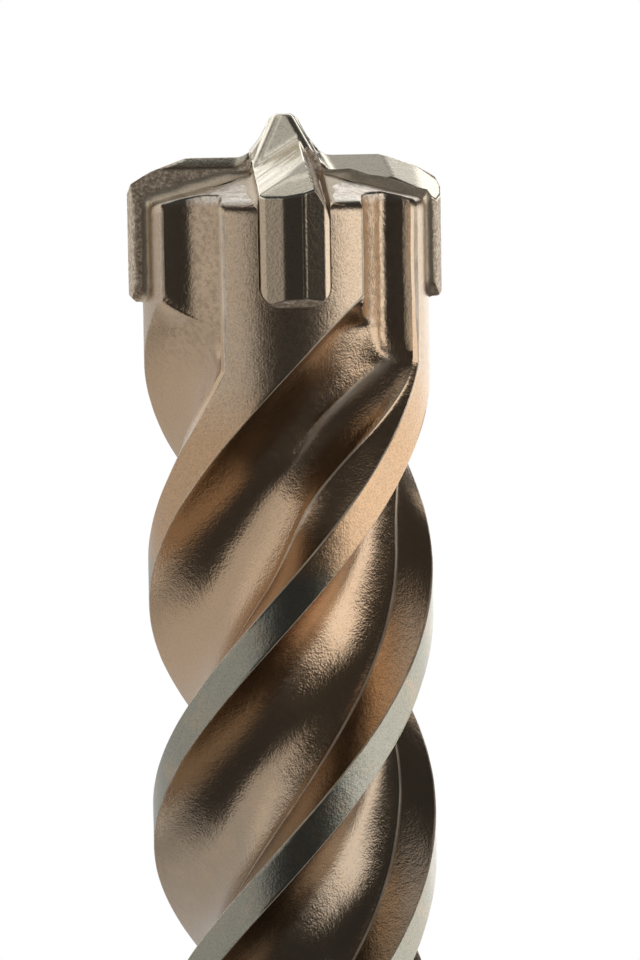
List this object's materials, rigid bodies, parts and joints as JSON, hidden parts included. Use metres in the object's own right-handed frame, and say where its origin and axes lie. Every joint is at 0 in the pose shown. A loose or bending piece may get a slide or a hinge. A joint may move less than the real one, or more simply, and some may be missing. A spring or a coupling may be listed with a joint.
{
  "type": "masonry drill bit",
  "caption": "Hammer drill bit for masonry: slotted round shank, helical flutes with sharp lands and a cross-shaped carbide head with a centring point.",
  "frame": {"origin": "centre of the flat end face of the shank, on which the bit stands", "axes": "+Z along the bit's axis from the shank to the centring point; -Y along one main cutter, X along the side cutters"},
  "size_m": [0.016, 0.016, 0.16],
  "materials": {
    "body_steel": "blasted hardened steel with a bronze temper tint",
    "carbide": "sintered carbide, ground on the cutting faces",
    "braze": "dull copper braze"
  },
  "bodies": {
    "root": {"drill_body": "body_steel", "carbide_head": "carbide", "braze_seam": "braze"}
  },
  "joints": []
}
